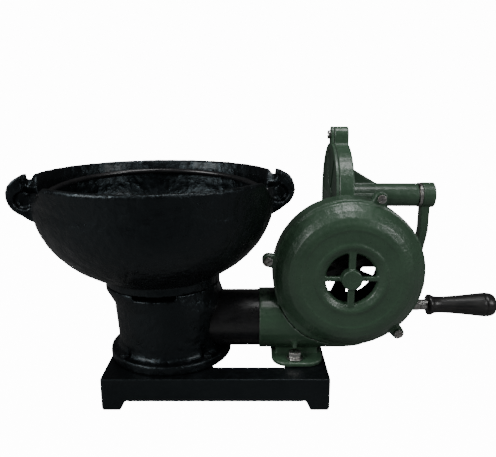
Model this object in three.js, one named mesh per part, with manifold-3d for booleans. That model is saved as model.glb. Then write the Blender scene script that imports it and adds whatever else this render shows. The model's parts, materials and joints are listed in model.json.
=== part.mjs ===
// Coal forge with a hand-cranked blower.
//
// A cast-iron fire bowl sits on a hollow pedestal, which stands on a low base frame.  A crank turns a
// worm wheel, the wheel drives a worm on the fan shaft, and the fan blows air through the outlet
// duct and the air tube into the pedestal and up through the grate.
//
// Units are millimetres, +Z is up and the floor is z = 0.  The sub-parts are laid out from the
// pedestal's axis, and the finished group is moved so that the middle of its base is the origin.

import * as THREE from 'three';
import { mergeVertices } from 'three/addons/utils/BufferGeometryUtils.js';
import Module from 'manifold-3d';

const wasm = await Module();
wasm.setup();

// ---------------------------------------------------------------- clearances and facets

const gap = 0.3;              // between pieces that touch or rest on each other
const runningFit = 0.25;      // radial, between a shaft and its bush
const throughHole = 0.6;      // radial, between a bolt and its clearance hole
const past = 2;               // how far a cutter runs past the face that it cuts

const fine = 48;              // facets round the bowl, the pedestal and the cases
const medium = 28;            // facets round the tubes and the smaller cylinders
const coarse = 14;            // facets round shafts, bolts and bushes

// ---------------------------------------------------------------- driving dimensions

// base frame
const baseLength = 278;
const baseDepth = 172;
const baseHeight = 41;
const baseWall = 6;
const footHeight = 11.5;
const footLength = 24;
const footSlope = 5.5;
const baseLeftOfPedestal = 76.5;
const windowMargin = 32;
const windowFromPedestal = 58;
const windowLength = 90;

// pedestal
const pedestalFlangeRadius = 79;
const pedestalFlangeThickness = 11.7;
const pedestalWaistRadius = 67.5;
const pedestalWaistZ = 62;
const pedestalNeckRadius = 71.5;
const pedestalNeckZ = 116;
const pedestalTopRadius = 73.5;
const neckX = -8.4;
const pedestalLandZ = 134;
const pedestalTopZ = 139.7;
const neckNotchLeftX = -36;
const neckNotchRightX = 16;
const pedestalWall = 7;
const pedestalBoltCircle = 73;
const pedestalBoltDiameter = 6;

// air tube, from the pedestal into the blower's duct
const airTubeDiameter = 73;
const airTubeWall = 2.5;
const airTubeZ = 88.3;
const airTubeY = -6;
const airTubeInPedestal = 20;
const airTubeInDuct = 22;

// fire bowl
const bowlX = -13.5;
const bowlTurn = 9.4;
const bowlRimRadius = 152.5;
const bowlRimZ = 277;
const bowlShoulderRadius = 148;
const bowlShoulderZ = 246;
const bowlDepthBelowShoulder = 110;
const bowlWall = 7;
const bowlRimLand = 6;
const bowlLedgeDepth = 12;
const bowlFootRadius = 73.5;
const bowlFootHeight = 9.5;
const spigotRadius = 52;
const spigotLength = 14;
const bowlThroatRadius = 44;
const grateSeatDepth = 6;

// ears and bail handle
const earReach = 176;
const earTopZ = 279;
const earBottomZ = 230;
const earThickness = 34;
const earRecessRadius = 11;
const earRecessDepth = 10;
const bailPivotZ = 251.5;
const bailRadius = 136;
const bailDiameter = 7.5;
const bailPinLength = 26;
const bailRestAngle = 4.5;
const restDip = 26;
const restDipHalfWidth = 58;
const restDipOffset = 36;

// grate
const grateRadius = 58;
const grateThickness = 5.5;
const grateHoleDiameter = 10;
const grateRings = [1, 6, 12];
const grateRingPitch = 17;

// fan case and duct
const fanX = 227;
const fanZ = 156;
const caseRadius = 94.5;
const caseWall = 4;
const casePartingY = -33;
const caseShoulderY = -8;
const caseBackY = 20;
const caseBackRadius = 66;
const coverLip = 3;
const coverFaceY = -57.5;
const inletRadius = 31;
const inletHubRadius = 12.5;
const spokeWidth = 8.5;
const ductWall = 2.2;
const ductLeftX = 116;
const ductNoseLength = 55;
const lugCircle = 101.5;
const lugRadius = 8;
const lugAngles = [70, 170, 310];
const lugLength = 10;
const rearWindowInner = 28;
const rearWindowOuter = 46;
const rearSpokeWidth = 14;
const blowerFootX = 161.3;
const blowerFootLeftX = 132;
const blowerFootRightX = 197;
const blowerFootCorner = 22;
const blowerFootFrontY = -56;
const blowerFootThickness = 5.5;
const footBoltFromEdge = 14;
const footBoltDiameter = 10;

// fan shaft, impeller and worm gearing
const fanShaftDiameter = 10;
const impellerRadius = 80;
const impellerFrontY = -38;
const impellerBackY = 4;
const bladeCount = 8;
const bladeThickness = 2.5;
const gearModule = 2.75;
const wheelTeeth = 48;
const wormStarts = 4;
const wormPitchRadius = 10.5;
const wormLength = 40;
const wheelWidth = 9;
const wheelHubRadius = 16;

// gear case
const gearCaseY = 98;
const gearCaseRadius = 74;
const gearCaseLeftX = 218;
const gearCaseWidth = 24;
const gearCaseWall = 3.5;
const gearCoverThickness = 3.5;
const wormTubeRadius = 19.5;
const wormTubeWall = 3.5;
const wormTubeBackY = 150;
const topLugRadius = 11.5;
const topLugZ = 318;
const crankTubeDiameter = 33.6;
const crankTubeBore = 27;
const crankTubeEndX = 345;
const gussetLength = 44;
const gussetHeight = 26;
const gussetThickness = 6;

// crank
const crankshaftDiameter = 16;
const crankRadius = 168.5;
const crankCollarWidth = 5;
const crankBossLength = 17.5;
const crankBossDiameter = 36;
const crankArmTopWidth = 12;
const crankArmEndWidth = 10;
const crankArmOffset = 12.5;
const crankArmDepth = 18;
const gripStudDiameter = 10;
const gripNutFlats = 16;
const gripNutThickness = 10;
const gripCollarWidth = 11.5;
const gripLength = 102;
const gripMaxDiameter = 36;
const gripFlangeDiameter = 31;
const gripWaistDiameter = 24.5;

// ---------------------------------------------------------------- derived places

const wormTeethAxial = Math.PI * gearModule;
const wheelPitchRadius = gearModule * wheelTeeth / 2;
const crankZ = fanZ + wheelPitchRadius + wormPitchRadius;
const baseLeft = -baseLeftOfPedestal;
const baseRight = baseLeft + baseLength;
const onBase = baseHeight + gap;
const gearCaseRightX = gearCaseLeftX + gearCaseWidth;
const gearCoverRightX = gearCaseLeftX + gearCoverThickness;
const crankTubeRadius = crankTubeDiameter / 2;
const crankBossX = crankTubeEndX + gap + crankCollarWidth + gap;
const gripZ = crankZ - crankRadius;
const armEndRightX = crankBossX + crankArmTopWidth - crankArmOffset;
const gripNutX = armEndRightX + gap;
const gripCollarX = gripNutX + gripNutThickness + gap;
const gripX = gripCollarX + gripCollarWidth + gap;

// ---------------------------------------------------------------- solids

/** A closed geometry as a solid that can be joined and cut, turned face out when it is inside out. */
function solid(geometry) {
  const bare = geometry.index ? geometry.toNonIndexed() : geometry.clone();
  bare.deleteAttribute('normal');
  bare.deleteAttribute('uv');
  const merged = mergeVertices(bare, 1e-4);
  const vertProperties = new Float32Array(merged.attributes.position.array);
  const corners = Array.from(merged.index.array);
  const triVerts = [];
  for (let i = 0; i < corners.length; i += 3) {
    const [a, b, c] = corners.slice(i, i + 3);
    if (a !== b && b !== c && c !== a) triVerts.push(a, b, c);
  }
  if (signedVolume(vertProperties, triVerts) < 0) triVerts.reverse();
  const mesh = new wasm.Mesh({ numProp: 3, vertProperties, triVerts: new Uint32Array(triVerts) });
  return new wasm.Manifold(mesh);
}

/** Six times the volume inside the triangles, below zero when they face in. */
function signedVolume(points, corners) {
  const a = new THREE.Vector3();
  const b = new THREE.Vector3();
  const c = new THREE.Vector3();
  let sum = 0;
  for (let i = 0; i < corners.length; i += 3) {
    a.fromArray(points, 3 * corners[i]);
    b.fromArray(points, 3 * corners[i + 1]);
    c.fromArray(points, 3 * corners[i + 2]);
    sum += a.dot(b.cross(c));
  }
  return sum;
}

/** A solid as a geometry for a mesh. */
function geometryOf(body) {
  const mesh = body.getMesh();
  const geometry = new THREE.BufferGeometry();
  geometry.setAttribute('position', new THREE.BufferAttribute(new Float32Array(mesh.vertProperties), 3));
  geometry.setIndex(new THREE.BufferAttribute(new Uint32Array(mesh.triVerts), 1));
  geometry.computeVertexNormals();
  return geometry;
}

const union = (...bodies) => bodies.reduce((sum, body) => sum.add(body));
const cut = (body, ...tools) => tools.reduce((rest, tool) => rest.subtract(tool), body);

/** Turns a geometry made along +Y so that it runs along the named axis. */
function alongAxis(geometry, axis) {
  if (axis === 'x') geometry.rotateZ(-Math.PI / 2);
  if (axis === 'z') geometry.rotateX(Math.PI / 2);
  return geometry;
}

/** A cylinder that starts at the point given and runs in the positive direction of its axis. */
function rod(axis, radius, start, length, facets = coarse) {
  const geometry = new THREE.CylinderGeometry(radius, radius, length, facets);
  geometry.translate(0, length / 2, 0);
  return solid(alongAxis(geometry, axis).translate(...start));
}

/** A turned geometry from a closed outline of [radius, distance along the axis] points. */
function turnedGeometry(axis, outline, centre, facets = medium) {
  const points = outline.map(([radius, along]) => new THREE.Vector2(Math.max(radius, 0), along));
  const first = outline[0];
  const last = outline[outline.length - 1];
  const onAxis = first[0] === 0 && last[0] === 0;
  if (!onAxis) points.push(points[0].clone());
  const geometry = new THREE.LatheGeometry(points, facets);
  return alongAxis(geometry, axis).translate(...centre);
}

const turned = (...shape) => solid(turnedGeometry(...shape));

/** A box between two opposite corners. */
function block(low, high) {
  const size = high.map((value, i) => value - low[i]);
  const middle = high.map((value, i) => (value + low[i]) / 2);
  return solid(new THREE.BoxGeometry(...size).translate(...middle));
}

/** An outline of [x, z] points made thick along +Y, from y = start. */
function plateXZ(outline, start, thickness) {
  const shape = new THREE.Shape(outline.map(([x, z]) => new THREE.Vector2(x, z)));
  const geometry = new THREE.ExtrudeGeometry(shape, { depth: thickness, bevelEnabled: false });
  return solid(geometry.rotateX(Math.PI / 2).translate(0, start + thickness, 0));
}

/** An outline of [y, z] points made thick along +X, from x = start. */
function plateYZ(outline, start, thickness) {
  const shape = new THREE.Shape(outline.map(([y, z]) => new THREE.Vector2(y, z)));
  const geometry = new THREE.ExtrudeGeometry(shape, { depth: thickness, bevelEnabled: false });
  return solid(geometry.rotateY(Math.PI / 2).rotateX(Math.PI / 2).translate(start, 0, 0));
}

/** An outline of [x, y] points made thick along +Z, from z = start. */
function plateXY(outline, start, thickness) {
  const shape = new THREE.Shape(outline.map(([x, y]) => new THREE.Vector2(x, y)));
  const geometry = new THREE.ExtrudeGeometry(shape, { depth: thickness, bevelEnabled: false });
  return solid(geometry.translate(0, 0, start));
}

const radians = (degrees) => degrees * Math.PI / 180;

/** Points on an ellipse's arc, both ends included. */
function arc(cx, cy, rx, ry, fromDegrees, toDegrees, steps) {
  const points = [];
  for (let i = 0; i <= steps; i += 1) {
    const angle = radians(fromDegrees + (toDegrees - fromDegrees) * i / steps);
    points.push([cx + rx * Math.cos(angle), cy + ry * Math.sin(angle)]);
  }
  return points;
}

/** A six-sided prism along an axis, for bolt heads and nuts. */
function hexagon(axis, flats, start, length) {
  return rod(axis, flats / Math.sqrt(3), start, length, 6);
}

// ---------------------------------------------------------------- materials

const paint = { color: 0x6f9a80, roughness: 0.42, metalness: 0.15 };
const iron = { color: 0x3b3f42, roughness: 0.72, metalness: 0.35 };
const baseIron = { color: 0x555b61, roughness: 0.6, metalness: 0.3 };
const blackSteel = { color: 0x17191b, roughness: 0.35, metalness: 0.5 };
const steel = { color: 0xb4b6b5, roughness: 0.32, metalness: 0.95 };
const bronze = { color: 0xa9803f, roughness: 0.4, metalness: 0.9 };
const blackGrip = { color: 0x26292b, roughness: 0.5, metalness: 0.0 };

const forge = new THREE.Group();

/** Adds a sub-part to a group as a named mesh with its own material. */
function addPart(name, body, look, parent = forge) {
  const mesh = new THREE.Mesh(geometryOf(body), new THREE.MeshStandardMaterial(look));
  mesh.name = name;
  parent.add(mesh);
  return mesh;
}

// ---------------------------------------------------------------- base frame

/** The corners of a rectangle with its corners rounded. */
function roundedRectangle(left, right, front, back, radius, steps = 4) {
  return [
    ...arc(right - radius, back - radius, radius, radius, 0, 90, steps),
    ...arc(left + radius, back - radius, radius, radius, 90, 180, steps),
    ...arc(left + radius, front + radius, radius, radius, 180, 270, steps),
    ...arc(right - radius, front + radius, radius, radius, 270, 360, steps),
  ];
}

/** The gap between two feet, seen from the side: narrower at the rail than at the floor. */
function footGap(from, to) {
  return [
    [from + footLength, -past],
    [to - footLength, -past],
    [to - footLength, 0],
    [to - footLength - footSlope, footHeight],
    [from + footLength + footSlope, footHeight],
    [from + footLength, 0],
  ];
}

const baseFront = -baseDepth / 2;
const baseBack = baseDepth / 2;
const windowLeft = windowFromPedestal;
const windowRight = windowLeft + windowLength;
const footBoltYs = [blowerFootFrontY + footBoltFromEdge, 2 * airTubeY - blowerFootFrontY - footBoltFromEdge];
const pedestalBoltPlaces = [45, 135, 225, 315].map((angle) => [
  pedestalBoltCircle * Math.cos(radians(angle)),
  pedestalBoltCircle * Math.sin(radians(angle)),
]);

/** A clearance hole down through the base's top plate. */
function plateHole(x, y, diameter) {
  const length = baseWall + 2 * past;
  return rod('z', diameter / 2 + throughHole, [x, y, baseHeight - baseWall - past], length);
}

function baseFrame() {
  const body = plateXY(roundedRectangle(baseLeft, baseRight, baseFront, baseBack, 4), 0, baseHeight);
  const under = block(
    [baseLeft + baseWall, baseFront + baseWall, -past],
    [baseRight - baseWall, baseBack - baseWall, baseHeight - baseWall],
  );
  const longGap = plateXZ(footGap(baseLeft, baseRight), baseFront - past, baseDepth + 2 * past);
  const shortGap = plateYZ(footGap(baseFront, baseBack), baseLeft - past, baseLength + 2 * past);
  const opening = block(
    [windowLeft, baseFront + windowMargin, baseHeight - baseWall - past],
    [windowRight, baseBack - windowMargin, baseHeight + past],
  );
  const holes = [
    ...pedestalBoltPlaces.map(([x, y]) => plateHole(x, y, pedestalBoltDiameter)),
    ...footBoltYs.map((y) => plateHole(blowerFootX, y, footBoltDiameter)),
  ];
  return cut(body, under, longGap, shortGap, opening, ...holes);
}

addPart('base_frame', baseFrame(), baseIron);

// ---------------------------------------------------------------- pedestal and air tube

const pedestalFlangeTopZ = onBase + pedestalFlangeThickness;
const pedestalBore = pedestalWaistRadius - pedestalWall;
const airTubeRadius = airTubeDiameter / 2;
const airTubeSeatX = Math.sqrt(pedestalWaistRadius ** 2 - airTubeRadius ** 2);
const airTubeLeftX = airTubeSeatX - airTubeInPedestal / 2;
const airTubeRightX = ductLeftX + airTubeInDuct;

/** Moves every point above the waist sideways, because the neck leans toward the bowl. */
function leanToBowl(geometry) {
  const points = geometry.attributes.position;
  for (let i = 0; i < points.count; i += 1) {
    const share = (points.getZ(i) - pedestalNeckZ) / (pedestalLandZ - pedestalNeckZ);
    points.setX(i, points.getX(i) + neckX * Math.min(Math.max(share, 0), 1));
  }
  return geometry;
}

function pedestal() {
  const edge = 1.5;
  const flareFoot = pedestalWaistRadius + 6.5;
  const flareHeight = pedestalWaistZ - pedestalFlangeTopZ;
  const outline = [
    [pedestalBore, onBase],
    [pedestalFlangeRadius, onBase],
    [pedestalFlangeRadius, pedestalFlangeTopZ - edge],
    [pedestalFlangeRadius - edge, pedestalFlangeTopZ],
    ...arc(flareFoot, pedestalWaistZ, flareFoot - pedestalWaistRadius, flareHeight, 270, 180, 4),
    [pedestalNeckRadius, pedestalNeckZ],
    [pedestalTopRadius, pedestalLandZ],
    [pedestalTopRadius, pedestalTopZ],
    [pedestalTopRadius - pedestalWall, pedestalTopZ],
    [pedestalTopRadius - pedestalWall, pedestalLandZ],
    [pedestalBore, pedestalNeckZ],
  ];
  const body = solid(leanToBowl(turnedGeometry('z', outline, [0, 0, 0], fine)));
  const tubeHole = rod('x', airTubeRadius + gap, [0, airTubeY, airTubeZ], pedestalFlangeRadius + past, medium);
  const notch = block(
    [neckNotchLeftX, -pedestalTopRadius - past, pedestalLandZ],
    [neckNotchRightX, -pedestalTopRadius / 2, pedestalTopZ + past],
  );
  const boltLength = pedestalFlangeThickness + 2 * past;
  const holes = pedestalBoltPlaces.map(([x, y]) => (
    rod('z', pedestalBoltDiameter / 2 + throughHole, [x, y, onBase - past], boltLength)
  ));
  const seats = pedestalBoltPlaces.map(([x, y]) => (
    rod('z', pedestalBoltDiameter + 1, [x, y, pedestalFlangeTopZ], pedestalWaistZ - pedestalFlangeTopZ + past)
  ));
  return cut(body, tubeHole, notch, ...holes, ...seats);
}

function airTube() {
  const length = airTubeRightX - airTubeLeftX;
  const outside = rod('x', airTubeRadius, [airTubeLeftX, airTubeY, airTubeZ], length, medium);
  const start = [airTubeLeftX - past, airTubeY, airTubeZ];
  return cut(outside, rod('x', airTubeRadius - airTubeWall, start, length + 2 * past, medium));
}

/** A hexagon-head bolt that points down, its head resting on z = seat. */
function bolt(x, y, seat, diameter, flats, headHeight, length) {
  const head = hexagon('z', flats, [x, y, seat + gap], headHeight);
  return union(head, rod('z', diameter / 2, [x, y, seat + gap - length], length + headHeight / 2));
}

/** A hexagon nut on a bolt, its top face touching z = seat from below. */
function nut(x, y, seat, diameter, flats, height) {
  const start = [x, y, seat - gap - height];
  const bore = rod('z', diameter / 2 + gap, [x, y, seat - gap - height - past], height + 2 * past);
  return cut(hexagon('z', flats, start, height), bore);
}

const underPlate = baseHeight - baseWall;

addPart('pedestal', pedestal(), iron);
addPart('air_tube', airTube(), blackSteel);
pedestalBoltPlaces.forEach(([x, y], i) => {
  const length = pedestalFlangeThickness + baseWall + 12;
  addPart(`pedestal_bolt_${i + 1}`, bolt(x, y, pedestalFlangeTopZ, pedestalBoltDiameter, 10, 4.5, length), iron);
  addPart(`pedestal_nut_${i + 1}`, nut(x, y, underPlate, pedestalBoltDiameter, 10, 5.5), steel);
});

// ---------------------------------------------------------------- fire bowl, grate and bail handle

const bowlSeatZ = pedestalTopZ + gap;
const bowlGroup = new THREE.Group();
bowlGroup.position.x = bowlX;
bowlGroup.rotation.z = radians(bowlTurn);
forge.add(bowlGroup);

/** The angle on the bowl's shoulder ellipse at which the radius is the one given. */
const shoulderAngle = (radius, ellipseRadius) => -Math.acos(radius / ellipseRadius) * 180 / Math.PI;

const bowlInnerRadius = bowlShoulderRadius - bowlWall;
const bowlInnerDepth = bowlDepthBelowShoulder - bowlWall;
const grateSeatRadius = grateRadius + 1;
const grateFloorRadius = grateSeatRadius + 4;
const grateFloorAngle = shoulderAngle(grateFloorRadius, bowlInnerRadius);
const grateFloorZ = bowlShoulderZ + bowlInnerDepth * Math.sin(radians(grateFloorAngle));
const grateSeatZ = grateFloorZ - grateSeatDepth;
const rimInnerRadius = bowlRimRadius - bowlRimLand;

/** The bowl's inside from the rim down to the throat, as a turned cutter. */
function bowlInside() {
  const top = bowlRimZ + past;
  const outline = [
    [0, bowlSeatZ - spigotLength - past],
    [bowlThroatRadius, bowlSeatZ - spigotLength - past],
    [bowlThroatRadius, grateSeatZ],
    [grateSeatRadius, grateSeatZ],
    [grateSeatRadius, grateFloorZ],
    ...arc(0, bowlShoulderZ, bowlInnerRadius, bowlInnerDepth, grateFloorAngle, 0, 7),
    [rimInnerRadius - 3, bowlRimZ - bowlLedgeDepth],
    [rimInnerRadius, bowlRimZ - 2],
    [rimInnerRadius, top],
    [0, top],
  ];
  return turned('z', outline, [0, 0, 0], fine);
}

/** An ear's outline from inside the wall, over its rounded end and back to the wall. */
function earOutline() {
  const middleZ = (earTopZ + earBottomZ) / 2 + 1;
  const halfHeight = earTopZ - middleZ;
  const middleX = earReach - 21;
  return [
    [bowlInnerRadius - 8, earBottomZ - 14],
    [bowlShoulderRadius + 4, earBottomZ - 4],
    ...arc(middleX, middleZ, 21, halfHeight, -65, 90, 8),
    [bowlRimRadius - 6, earTopZ - 1],
    [bowlInnerRadius - 8, bowlRimZ - 4],
  ];
}

function ear() {
  const body = plateXZ(earOutline(), -earThickness / 2, earThickness);
  const start = [earReach - 20, -earThickness / 2 - past, bailPivotZ - 1.5];
  return cut(body, rod('y', earRecessRadius, start, earRecessDepth + past, coarse));
}

/** The slot that the bail's pin drops into, open at the top. */
function bailSlot() {
  const half = bailDiameter / 2 + throughHole;
  const reach = bailRadius + bailPinLength + 2;
  return union(
    block([bailRadius - 12, -half, bailPivotZ], [reach, half, earTopZ + past]),
    rod('x', half, [bailRadius - 12, 0, bailPivotZ], reach - bailRadius + 12),
  );
}

/** The shallow dip in the rim in front of an ear, where a long work-piece lies. */
function workDip() {
  const radius = (restDipHalfWidth ** 2 + restDip ** 2) / (2 * restDip);
  const innerX = bowlRimRadius / 2;
  const start = [innerX, -restDipOffset, bowlRimZ - restDip + radius];
  return rod('x', radius, start, bowlRimRadius + 3.5 - innerX, medium);
}

/** The bowl's foot ring and spigot, centred on the pedestal's neck, in the bowl's own frame. */
function bowlFoot() {
  const aside = neckX - bowlX;
  const centre = [aside * Math.cos(radians(bowlTurn)), -aside * Math.sin(radians(bowlTurn))];
  return union(
    rod('z', bowlFootRadius, [...centre, bowlSeatZ], bowlFootHeight, fine),
    rod('z', spigotRadius, [...centre, bowlSeatZ - spigotLength], spigotLength + bowlFootHeight, fine),
  );
}

function fireBowl() {
  const seatAngle = -Math.asin((bowlShoulderZ - bowlSeatZ) / bowlDepthBelowShoulder) * 180 / Math.PI;
  const outline = [
    [0, bowlSeatZ],
    ...arc(0, bowlShoulderZ, bowlShoulderRadius, bowlDepthBelowShoulder, seatAngle, 0, 7),
    [bowlRimRadius, bowlRimZ - 3],
    [bowlRimRadius - 1, bowlRimZ],
    [0, bowlRimZ],
  ];
  const shell = turned('z', outline, [0, 0, 0], fine);
  const mirrored = (body) => body.mirror([1, 0, 0]);
  const solidBowl = union(shell, bowlFoot(), ear(), mirrored(ear()));
  return cut(solidBowl, bowlInside(), bailSlot(), mirrored(bailSlot()), workDip(), mirrored(workDip()));
}

function fireGrate() {
  const start = [0, 0, grateSeatZ + gap];
  const disc = rod('z', grateRadius, start, grateThickness, medium);
  const holes = grateRings.flatMap((count, ring) => Array.from({ length: count }, (_, i) => {
    const angle = 2 * Math.PI * i / count;
    const x = ring * grateRingPitch * Math.cos(angle);
    const y = ring * grateRingPitch * Math.sin(angle);
    return rod('z', grateHoleDiameter / 2, [x, y, grateSeatZ - past], grateThickness + 2 * past, 10);
  }));
  return cut(disc, ...holes);
}

/** A thin rod bent to a half circle, with a pin at each end that turns in an ear's slot. */
function bailHandle() {
  const radius = bailDiameter / 2;
  const points = arc(0, 0, bailRadius, bailRadius, 0, 180, 24);
  const route = new THREE.CatmullRomCurve3(points.map(([x, y]) => new THREE.Vector3(x, y, 0)));
  const outline = arc(0, 0, radius, radius, 0, 315, 7);
  const section = new THREE.Shape(outline.map(([x, y]) => new THREE.Vector2(x, y)));
  const bow = solid(new THREE.ExtrudeGeometry(section, { steps: 32, extrudePath: route, bevelEnabled: false }));
  const elbow = (x) => solid(new THREE.SphereGeometry(radius * 1.02, 10, 6).translate(x, 0, 0));
  const right = rod('x', radius, [bailRadius, 0, 0], bailPinLength, 12);
  const left = rod('x', radius, [-bailRadius - bailPinLength, 0, 0], bailPinLength, 12);
  return union(bow, elbow(bailRadius), elbow(-bailRadius), right, left);
}

addPart('fire_bowl', fireBowl(), iron, bowlGroup);
addPart('fire_grate', fireGrate(), iron, bowlGroup);
const bail = addPart('bail_handle', bailHandle(), blackSteel, bowlGroup);
bail.position.z = bailPivotZ;
bail.rotation.x = radians(bailRestAngle);

// ---------------------------------------------------------------- fan case and its cover

const ductBore = airTubeRadius + gap;
const ductRadius = ductBore + ductWall;
const coverBackY = casePartingY - gap;
const coverLipY = coverBackY - coverLip;
const bushRadius = fanShaftDiameter / 2 + 3;
const fanAxis = [fanX, 0, fanZ];
const caseBoltCircle = 22;
const caseBoltAngles = [45, 180, 270];

/** A point at an angle and a distance from the fan's axis. */
const fromFan = (distance, angle, y) => [
  fanX + distance * Math.cos(radians(angle)),
  y,
  fanZ + distance * Math.sin(radians(angle)),
];

/** The outlet duct, with a rounded nose that fades into the case. */
function ductSolid(radius, left, noseLength) {
  const length = fanX - left;
  const nose = new THREE.SphereGeometry(radius, medium, 10);
  nose.scale(noseLength / radius, 1, 1).rotateX(Math.PI / 2).translate(fanX, airTubeY, airTubeZ);
  return union(rod('x', radius, [left, airTubeY, airTubeZ], length, medium), solid(nose));
}

const ductOutside = ductSolid(ductRadius, ductLeftX, ductNoseLength);
const ductInside = ductSolid(ductBore, ductLeftX - past, ductNoseLength - ductWall);

/** Everything in front of the parting plane that lies over the case's round front. */
const frontOfCase = (radius, fromY) => rod('y', radius, [fanX, fromY - 60, fanZ], 60, fine);

/** A lug on the case's edge, centred on one of the cover screws. */
function lug(angle, y, length) {
  const arm = block([caseRadius - 8, y, -lugRadius], [lugCircle, y + length, lugRadius]);
  const turn = arm.rotate([0, -angle, 0]).translate([fanX, 0, fanZ]);
  return union(turn, rod('y', lugRadius, fromFan(lugCircle, angle, y), length));
}

function caseDrum(radius, backRadius, fromY, backY) {
  const outline = [
    [0, fromY],
    [radius, fromY],
    ...arc(backRadius, caseShoulderY, radius - backRadius, backY - caseShoulderY, 0, 90, 5),
    [0, backY],
  ];
  return turned('y', outline, fanAxis, fine);
}

/** The plate that bolts the blower to the base, its neck and the rib in front of it. */
function blowerFoot() {
  const backY = 2 * airTubeY - blowerFootFrontY;
  const outline = roundedRectangle(
    blowerFootLeftX, blowerFootRightX, blowerFootFrontY, backY, blowerFootCorner,
  );
  const neckFrontY = footBoltYs[0] + footBoltDiameter + 4;
  const neckBackY = footBoltYs[1] - footBoltDiameter - 4;
  const neck = block(
    [blowerFootLeftX + 6, neckFrontY, onBase + 1],
    [blowerFootRightX - 6, neckBackY, airTubeZ - ductRadius / 2],
  );
  const rib = block(
    [blowerFootX - 2.5, airTubeY - ductRadius + 4, onBase + blowerFootThickness + 12],
    [blowerFootX + 2.5, neckFrontY + 1, airTubeZ - ductRadius / 2],
  );
  return union(plateXY(outline, onBase, blowerFootThickness), neck, rib);
}

/** The air openings in the case's back, between its spokes; one quarter is left closed. */
function rearWindows() {
  const ring = turned('y', [
    [rearWindowInner, caseBackY - caseWall - past],
    [rearWindowOuter, caseBackY - caseWall - past],
    [rearWindowOuter, caseBackY + past],
    [rearWindowInner, caseBackY + past],
  ], fanAxis, medium);
  const half = rearSpokeWidth / 2;
  const reach = rearWindowOuter + past;
  const from = caseBackY - caseWall - 2 * past;
  const to = caseBackY + 2 * past;
  return cut(
    ring,
    block([fanX - reach, from, fanZ - half], [fanX + reach, to, fanZ + half]),
    block([fanX - half, from, fanZ - reach], [fanX + half, to, fanZ + reach]),
    block([fanX, from, fanZ], [fanX + reach, to, fanZ + reach]),
  );
}

function fanCase() {
  const drum = caseDrum(caseRadius, caseBackRadius, casePartingY, caseBackY);
  const inside = caseDrum(caseRadius - caseWall, caseBackRadius, casePartingY - past, caseBackY - caseWall);
  const lugs = lugAngles.map((angle) => lug(angle, casePartingY, lugLength));
  const boss = rod('y', bushRadius + 5, [fanX, caseBackY - 14, fanZ], 13);
  const screwHoles = lugAngles.map((angle) => (
    rod('y', 2.5 + gap, fromFan(lugCircle, angle, casePartingY - past), lugLength + 2 * past, 12)
  ));
  const footHoles = footBoltYs.map((y) => (
    rod('z', footBoltDiameter / 2 + throughHole, [blowerFootX, y, onBase - past], blowerFootThickness + 2 * past)
  ));
  const bearing = rod('y', bushRadius + gap, [fanX, caseBackY - 14 - past, fanZ], 14 + 2 * past);
  const gearBolts = caseBoltAngles.map((angle) => (
    rod('y', 2.5 + throughHole, fromFan(caseBoltCircle, angle, caseBackY - caseWall - past), caseWall + 2 * past, 12)
  ));
  const shell = cut(
    union(drum, ductOutside, blowerFoot(), ...lugs),
    inside,
    ductInside,
    frontOfCase(caseRadius + gap, casePartingY),
  );
  return cut(union(shell, boss), bearing, rearWindows(), ...screwHoles, ...footHoles, ...gearBolts);
}

/** The dome's section from its crown to its lip as [radius, depth behind the face]. */
const domeSection = [[61.6, 0.5], [68, 1], [76, 4], [84, 10.5], [89, 16.5], [91.5, 20.2]];
const domeInside = domeSection.map(([radius, depth]) => [radius - 3, coverFaceY + depth + 3]);

function coverDome() {
  return turned('y', [
    [inletRadius, coverFaceY + 11],
    [inletRadius + 3, coverFaceY + 8],
    [44, coverFaceY + 5.5],
    ...domeInside,
    [domeInside[domeInside.length - 1][0], coverBackY],
    [caseRadius, coverBackY],
    [caseRadius, coverLipY],
    ...domeSection.map(([radius, depth]) => [radius, coverFaceY + depth]).reverse(),
    [60.4, coverFaceY + 1.4],
    [46, coverFaceY + 1.4],
    [43, coverFaceY],
    [40, coverFaceY],
    [inletRadius + 2, coverFaceY + 4],
    [inletRadius, coverFaceY + 8],
  ], fanAxis, fine);
}

/** The solid inside of the dome, for cutting the duct's bulge out of it. */
function coverInside() {
  return turned('y', [
    [0, domeInside[0][1]],
    ...domeInside,
    [domeInside[domeInside.length - 1][0], coverBackY + past],
    [0, coverBackY + past],
  ], fanAxis, fine);
}

function fanCover() {
  const clip = frontOfCase(caseRadius - gap, coverBackY - gap / 2);
  const domeClip = coverInside();
  const bulge = cut(ductOutside.intersect(clip), ductInside, domeClip);
  const dome = cut(coverDome(), ductInside.intersect(clip));
  const half = spokeWidth / 2;
  const spokeFrontY = coverFaceY + 2;
  const spokeBackY = spokeFrontY + 6;
  const reach = inletRadius + 3;
  const hub = rod('y', inletHubRadius, [fanX, coverFaceY - 1, fanZ], 14, 24);
  const spokes = union(
    block([fanX - reach, spokeFrontY + 2, fanZ - half * 0.7], [fanX + reach, spokeBackY + 2, fanZ + half * 0.7]),
    block([fanX - half, spokeFrontY, fanZ - reach], [fanX + half, spokeBackY, fanZ + reach]),
  );
  const lugs = lugAngles.map((angle) => lug(angle, coverLipY, coverLip));
  const holes = lugAngles.map((angle) => (
    rod('y', 2.5 + throughHole, fromFan(lugCircle, angle, coverLipY - past), coverLip + 2 * past, 12)
  ));
  const bearing = rod('y', bushRadius + gap, [fanX, coverFaceY + 2, fanZ], 20);
  return cut(union(dome, bulge, hub, spokes, ...lugs), bearing, ...holes);
}

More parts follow.
